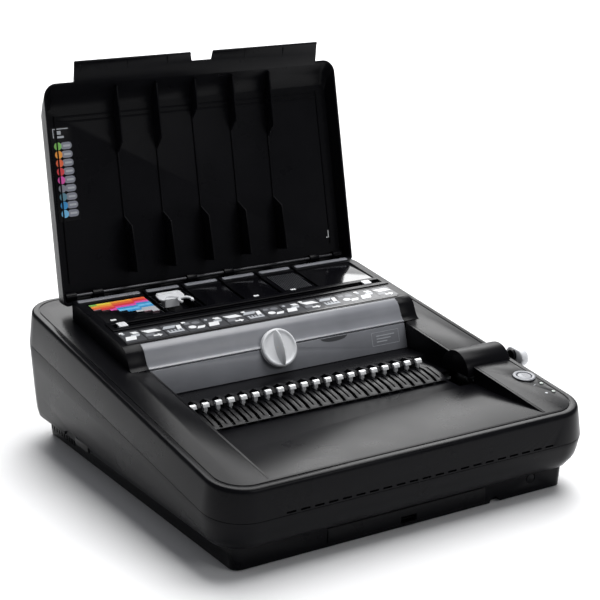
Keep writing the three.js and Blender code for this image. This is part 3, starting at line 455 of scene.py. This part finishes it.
def rib(x, short):
    free, root = LID_RIM + 2.5, LID_PANEL + 0.5
    ridge = root - 2.2
    outline = [(17, root), (18, -16.6), (22, -17), (69, LID_RIM), (79, ridge), (150 + short, ridge),
               (163.5 + short, free), (222, free), (226, free + 4), (209, root)]
    return lid_plate(outline, x - 0.9, x + 0.9)


def lid_body():
    rows = [(5, 3, -203, 9, LID_PANEL + LID_WALL), (3.2, 6, -207, 11, LID_PANEL + 1.6),
            (2.6, 7, -209, 12, LID_PANEL + 0.2),
            (1.6, 8, -221, 14, -2), (0.4, 8, -229.4, 15, -11.5), (0, 8, -231.3, 15, LID_RIM),
            (LID_WALL, 5.7, -229, 13, LID_RIM), (3.9, 5.7, -218.4, 12, -2), (4.9, 3, -203.4, 9, LID_PANEL)]
    shell = loft("lid_skin", [lid_ring(*row) for row in rows], on_lid)
    sides = [(x - KNUCKLE_GAP, x + KNUCKLE_GAP) for x in KNUCKLES]
    gaps = [prism("tool", [(a, 1), (b, 1), (b, -20), (a, -20)], on_lid, LID_RIM - 1, LID_PANEL - 0.3)
            for a, b in sides]
    bevelled(carved(shell, gaps), 0.5, 2)
    lips = [(227, LID_RIM - 0.1), (229.8, LID_RIM + 2.4), (240, LID_RIM - 1.6), (252, -19.4), (253.2, -21.6),
            (251.2, -22.4), (249.6, -21), (239, LID_RIM - 4.2)]
    finger_notch = prism("tool", [(-9.5, 262), (-6, 243.5), (19, 243.5), (22.5, 262)], on_lid, -40, 10)
    flange = carved(lid_plate(lips, -147, 157), [finger_notch])
    bevelled(flange, 0.4, 2)
    ribs = [bevelled(rib(x, short), 0.25, 2) for x, short in zip(RIB_XS, RIB_SHORT)]
    stays = [lid_plate([(240, -18.3), (249.4, -22), (249.4, -20.6), (240, -16.6)], x - 0.5, x + 0.5)
             for x in (-140, -84, -36, 30, 62, 112)]
    strips = [[(side * 168, 14), (side * 169.6, 14), (side * 166.6, 196), (side * 165, 196)]
              for side in (-1, 1)]
    ledges = [prism("ledge", strip, on_lid, LID_PANEL - 1.3, LID_PANEL + 0.1) for strip in strips]
    crease = [prism("crease", rounded(-165, 165, s, s + 1.6, 0.7), on_lid, LID_PANEL - 1.1, LID_PANEL + 0.1)
              for s in (188, 193.5)]
    lugs = [lid_plate(circle(0, 0, 4.4), x - 6, x + 6) for x in (-172, 172)]
    whole = joined("lid_body", [shell, flange, *ribs, *stays, *ledges, *crease, *lugs])
    return stand_for(whole, "lid_shell")


# ---- printed marks ----
PRINT = 0.16  # thickness of a printed or raised mark


def on_slope(level, up):
    """Place for an outline in X and Y lying on a slope, raised by up."""
    def place(x, y, h):
        return at(x, y, level(y) + up + h)
    return place


def on_deck(up):
    return on_slope(deck_z, up)


def on_strip(up):
    return on_slope(rim_z, up)


def on_panel(u, v, h):
    """Lower front panel: v runs up its face, h stands out of it."""
    foot, head = Vector((68.6, 95.0)), Vector((75.6, 121.6))
    along = (head - foot).normalized()
    out = Vector((-along.y, along.x))
    spot = foot + along * v + out * h
    return at(u, spot.x, spot.y)


def marks(name, outlines, place, ink, body="machine", thick=PRINT, low=0.0):
    solids = [prism("mark", outline, place, low, low + thick) for outline in outlines]
    return finish_piece(joined(name, solids), body, INK[ink])


def frame_lines(x0, x1, y0, y1, width):
    return [rectangle(x0, x1, y0, y0 + width), rectangle(x0, x1, y1 - width, y1),
            rectangle(x0, x0 + width, y0 + width, y1 - width),
            rectangle(x1 - width, x1, y0 + width, y1 - width)]


def lid_marks():
    def place(u, v, h):
        return on_lid(u, v, LID_PANEL - 0.62 - h)

    def near_panel(u, v, h):
        return on_lid(u, v, LID_PANEL - 0.1 - h)

    dots = ["green", "orange", "vermilion", "red", "pink", "slate", "teal", "blue", "sky"]
    rows = [164 - 9.2 * i for i in range(len(dots))]
    for i, (ink, s) in enumerate(zip(dots, rows)):
        marks(f"lid_dot_{i + 1}", [circle(-165.6, s, 4.3)], place, ink, "lid", 0.14, 0.16)
    marks("lid_pills", [rounded(-162.6, -149.4, s - 3.9, s + 3.9, 3.8) for s in rows], place, "slate", "lid")
    marks("lid_pill_bars", [rounded(-159.4, -151.4, s - 1.1, s + 1.1, 0.7) for s in rows],
          place, "pale", "lid", 0.08, 0.17)
    bracket = [rectangle(-170, -152, 182, 183), rectangle(-170, -169, 173, 182),
               rounded(-166.6, -160.6, 176.4, 180.4, 0.6), rounded(-166.6, -157.4, 172.6, 174.8, 0.6)]
    marks("lid_bracket", bracket, place, "pale", "lid")
    corner = [rectangle(166.4, 167.4, 22, 30), rectangle(164, 167.4, 21, 22)]
    marks("lid_corner_mark", corner, near_panel, "white", "lid")


def leaf(x, y, half_x, half_y, lean):
    """Sheet of paper seen aslant."""
    return [(x - half_x - lean, y - half_y), (x + half_x - lean, y - half_y),
            (x + half_x + lean, y + half_y), (x - half_x + lean, y + half_y)]


def arrow_icon(x, y):
    return [(x - 5, y - 1.4), (x + 1, y - 1.4), (x + 1, y - 3.6), (x + 5.6, y), (x + 1, y + 3.6),
            (x + 1, y + 1.4), (x - 5, y + 1.4)]


def comb_icon(x, y):
    points = [(x - 9, y - 3)]
    for k in range(5):
        points += [(x - 9 + 4 * k, y + 4), (x - 7 + 4 * k, y + 4), (x - 7 + 4 * k, y), (x - 5 + 4 * k, y)]
    return points[:-1] + [(x + 9, y - 3)]


def strip_marks():
    """Plain shapes in place of the printed working steps: sheets, combs, arrows and step tags."""
    place = on_deck(0.31)
    cells = [(-158 + 24.2 * i, 114.5) for i in range(14)]
    shapes = {"dim": [], "grey": [], "pale": [], "white": []}
    for i, (x, y) in enumerate(cells):
        shapes["dim"].append(rounded(x - 11.4, x + 11.4, y - 13, y + 13, 1.5))
        kind = i % 4
        if kind == 0:
            shapes["white"] += [leaf(x - 3, y - 4, 6, 4.4, 1.6), leaf(x + 6, y + 7, 3.4, 2.4, -1)]
            shapes["pale"] += [leaf(x + 4, y + 1, 5, 2.4, 1.2), circle(x - 7, y + 8, 2, 14)]
        elif kind == 1:
            shapes["white"] += [leaf(x, y + 5, 8, 3.4, -2.4), arrow_icon(x + 2, y - 7)]
            shapes["grey"] += [leaf(x - 5, y - 3, 5, 3, 1)]
        elif kind == 2:
            shapes["pale"] += [comb_icon(x, y - 5), leaf(x - 3, y + 6, 7, 3, 2)]
            shapes["white"] += [leaf(x + 7, y + 3, 2.6, 4.6, 1)]
        else:
            shapes["white"] += [circle(x - 4, y - 3, 4.4, 18, 0.8), leaf(x + 5, y - 6, 4.4, 2.6, 1.6)]
            shapes["grey"] += [circle(x + 4, y + 6, 4.6, 18, 0.7), leaf(x - 6, y + 7, 3, 2.4, 0.6)]
    for level, (ink, outlines) in enumerate(shapes.items()):
        marks(f"strip_{ink}", outlines, place, ink, thick=0.1, low=0.05 * level)
    marks("strip_tags", [rounded(x - 10.6, x - 6, 123.4, 126.6, 0.5) for x, _ in cells[::3]],
          place, "white", thick=0.1, low=0.22)


def deck_marks():
    columns, rows, gap = 8, 9, 0.15
    x0, x1, back, row = -166.0, -100.4, 206.0, 4.44
    width = (x1 - x0) / columns
    bands = ["yellow", "orange", "vermilion", "red", "pink", "blue", "sky", "blue", "pale"]
    cells = {}
    for i in range(columns):
        for j in range(min(3 + i - (i > 5), rows)):
            ink = bands[min(j + i // 3, rows - 1)] if j or i else "green"
            x, y = x0 + i * width, back - (j + 1) * row
            cells.setdefault(ink, []).append(rectangle(x, x + width - gap, y, y + row - gap))
    for ink, outlines in cells.items():
        marks(f"chart_{ink}", outlines, on_deck(-0.09), ink)
    tags = [rounded(x, x + 6.5, 161, 164.6, 0.5) for x in (-160, 14, 62)]
    marks("deck_tags", tags, on_deck(-0.98), "white")
    hatch = [rectangle(56 + 2.4 * k, 56.8 + 2.4 * k, 163, 205) for k in range(15)]
    marks("bay_hatch", hatch, on_deck(-0.98), "dim", thick=0.35)
    bars = [(-174, -100), (-92, -52), (-44, -4), (4, 44), (52, 92), (100, 172)]
    blanks = [prism("bar", rounded(a, b, 213.5, 219.5, 2), on_deck(-0.1), 0, 1.5) for a, b in bars]
    solids = [bevelled(blank, 0.6, 3) for blank in blanks]
    finish_piece(joined("rear_bars", solids), "machine", LOOKS["grey_panel"])


def front_marks():
    outline = frame_lines(112, 148, 8, 23, 0.45)
    marks("label_outline", outline, on_panel, "pale", thick=0.1)
    bars = [rounded(118, 142 - 5 * k, 18 - 3.2 * k, 19.2 - 3.2 * k, 0.4) for k in range(3)]
    marks("label_bars", bars, on_panel, "pale", thick=0.1)
    arc = [math.pi * k / 20 for k in range(21)]
    half_oval = [(64 + 17 * math.cos(a), 26.9 - 4.6 * math.sin(a)) for a in arc]
    marks("grip_patch", [half_oval], on_panel, "dim", thick=0.1)


def control_marks():
    arc = [math.radians(-100 + 10 * k) for k in range(21)]
    cx, cy = BUTTON_SPOT
    face = [(cx + 4.6 * math.cos(a), cy + 4.6 * math.sin(a)) for a in arc]
    marks("button_face", [face], on_strip(1.22), "grey", "button", 0.14)
    marks("lamp_icons", [rounded(189, 191.4, -113, -112.2, 0.3), circle(190, -132, 1.5, 16)], on_strip(0.0),
          "pale", thick=0.1)


# ---- comb size gauge ----
def gauge():
    """Shaped thumb plate on its stem, with an open jaw at its right end."""
    plate = [(-90.5, 187), (-89, 199), (-82, 203.4), (-70, 202.6), (-60, 203), (-58.4, 196), (-59.6, 188),
             (-66, 185), (-74, 189.6), (-80, 190.6), (-86, 184), (-90.5, 187)]
    outline = eased(plate, 4)[:-1]
    body = bevelled(prism("plate", outline, on_deck(0.4), 0, 2.1), 0.7, 3)
    rim = bevelled(prism("plate_rim", rounded(-88, -62, 196.4, 201.6, 2), on_deck(2.3), 0, 0.9), 0.5, 3)
    arc = [math.radians(-36 + 12 * k) for k in range(22)]
    cx, cy = -63, 177.6
    outer = [(cx + 9 * math.cos(a), cy + 9 * math.sin(a)) for a in arc]
    inner = [(cx + 5.6 * math.cos(a), cy + 5.6 * math.sin(a)) for a in reversed(arc)]
    jaw = bevelled(prism("jaw", outer + inner, on_deck(0.4), 0, 2.1), 0.5, 3)
    stem = prism("stem", rounded(-84, -66, 186, 197, 1.5), on_deck(-8), 0, 9)
    return stand_for(joined("gauge_body", [body, rim, jaw, stem]), "comb_gauge")


# ---- knob ----
def knob():
    hinge = JOINTS["knob_turn"]
    out = -Vector(hinge["axis"]).normalized()
    side = Vector((1, 0, 0))
    up = out.cross(side)
    centre = Vector(hinge["pos_m"])

    def place(u, v, h):
        return centre + (side * u + up * v + out * h) * MM

    profile = eased([(4.4, 1.6), (19.6, 1.6), (20.8, 2.4), (21, 4.2), (20.6, 5.6), (18.6, 6.6), (16, 5.2),
                     (9, 4.8), (0.01, 4.8)])
    rings = [[(x, y, h) for x, y in circle(0, 0, r, 64)] for r, h in profile]
    dish = loft("dish", rings, place)
    steps = 22
    blade_rows = []
    for k in range(steps + 1):
        v = -19.4 + 38.8 * k / steps
        fall = 1 - (v / 19.6) ** 2
        crest = 5.2 + 9.4 * math.sqrt(fall)
        half = 1.1 + 3.2 * fall
        shoulder = 4 + (crest - 4) * 0.62
        side_up = [(-half - 1.6, 4.0), (-half * 0.62, shoulder), (-0.9, crest - 0.5)]
        profile_row = side_up + [(0, crest)] + [(-u, h) for u, h in reversed(side_up)]
        blade_rows.append([(u, v, h) for u, h in profile_row])
    blade = loft("blade", blade_rows, place)
    return stand_for(joined("knob_cap", [dish, blade]), "edge_knob", 50)


# ---- the rest of the machine ----
OWN_LOOK = {"lid_label": "shell", "hinge_pin": "dark_steel"}


def machine_pieces():
    upper_shell()
    lower_shell()
    base_shell()
    lid_body()
    knob()
    gauge()
    fine = {
        "chip_drawer": 0.4, "paper_tray": 0.35, "comb_plate": 0.25, "hook_bar": 0.3, "lever_boss": 0.8,
        "comb_lever": 0.6, "lever_grip": 0.4, "punch_housing": 0.6, "front_panel": 0.4, "lower_panel": 0.35,
        "edge_guide_left": 0.3, "edge_guide_right": 0.3, "throat_frame": 0.4, "label_strip": 0.12,
        "rear_panel": 0.2, "gauge_well": 0.3, "hinge_rail": 0.4, "power_inlet": 0.4, "switch_frame": 0.4,
        "power_rocker": 0.4, "punch_button": 0.5, "button_ring": 0.2, "indicator_front": 0.3,
        "indicator_rear": 0.3, "foot_front_left": 0.4, "foot_front_right": 0.4, "foot_rear_left": 0.4,
        "foot_rear_right": 0.4,
        "lid_label": 0.08, "lever_shaft": 0.3,
    }
    for name, width in fine.items():
        refined(f"{name}_piece", name, width, LOOKS[OWN_LOOK[name]] if name in OWN_LOOK else None)
    for name, obj in NODES.items():
        if obj.hide_render:
            continue
        obj.data.materials.clear()
        obj.data.materials.append(LOOKS[OWN_LOOK.get(name, SLOT_OF[name])])
    strip_marks()
    deck_marks()
    front_marks()
    control_marks()
    lid_marks()


# ---- stage ----
def stage():
    floor = block("floor", (-9000, 9000), (-9000, 9000), (-40, -0.05))
    white = surface("floor_paper", (0.93, 0.93, 0.935), 0.8, grain=60, bump=0.02, mottle=0.004, specular=0.1)
    floor.data.materials.append(white)


def soft_light(name, spot, size, power, aim=MACHINE_MIDDLE):
    lamp = bpy.data.lights.new(name, "AREA")
    lamp.shape, lamp.size, lamp.size_y = "RECTANGLE", size[0], size[1]
    lamp.energy = power
    made = bpy.data.objects.new(name, lamp)
    bpy.context.scene.collection.objects.link(made)
    made.location = spot
    made.rotation_euler = (Vector(aim) - Vector(spot)).to_track_quat("-Z", "Y").to_euler()


def lighting():
    bpy.context.scene.view_settings.view_transform = "Standard"
    world = bpy.data.worlds.new("studio")
    bpy.context.scene.world = world
    world.use_nodes = True
    back = world.node_tree.nodes["Background"]
    back.inputs["Color"].default_value = WORLD_TINT
    back.inputs["Strength"].default_value = WORLD_STRENGTH
    soft_light("overhead", (0.45, 0.10, 2.0), (1.7, 1.3), 46)
    soft_light("behind_right", (2.0, 3.0, 1.5), (3.4, 1.8), 34)
    soft_light("front_right", (0.9, -2.6, 1.7), (1.4, 0.7), 12)
    soft_light("far_floor", (2.6, 4.6, 4.2), (5.0, 4.0), 350, aim=(2.2, 3.6, 0))


def camera():
    lens = bpy.data.cameras.new("camera")
    lens.lens, lens.sensor_width = CAMERA_LENS, CAMERA_SENSOR
    lens.clip_start, lens.clip_end = CAMERA_NEAR, CAMERA_FAR
    made = bpy.data.objects.new("camera", lens)
    bpy.context.scene.collection.objects.link(made)
    look = Vector(CAMERA_LOOK).normalized()
    right = look.cross(Vector((0, 0, 1))).normalized()
    up = right.cross(look)
    right_rolled = right * math.cos(CAMERA_ROLL) + up * math.sin(CAMERA_ROLL)
    up_rolled = right_rolled.cross(look)
    turn = Matrix((right_rolled, up_rolled, -look)).transposed().to_4x4()
    made.matrix_world = Matrix.Translation(CAMERA_PLACE) @ turn
    bpy.context.scene.camera = made


machine_pieces()
stage()
lighting()
camera()
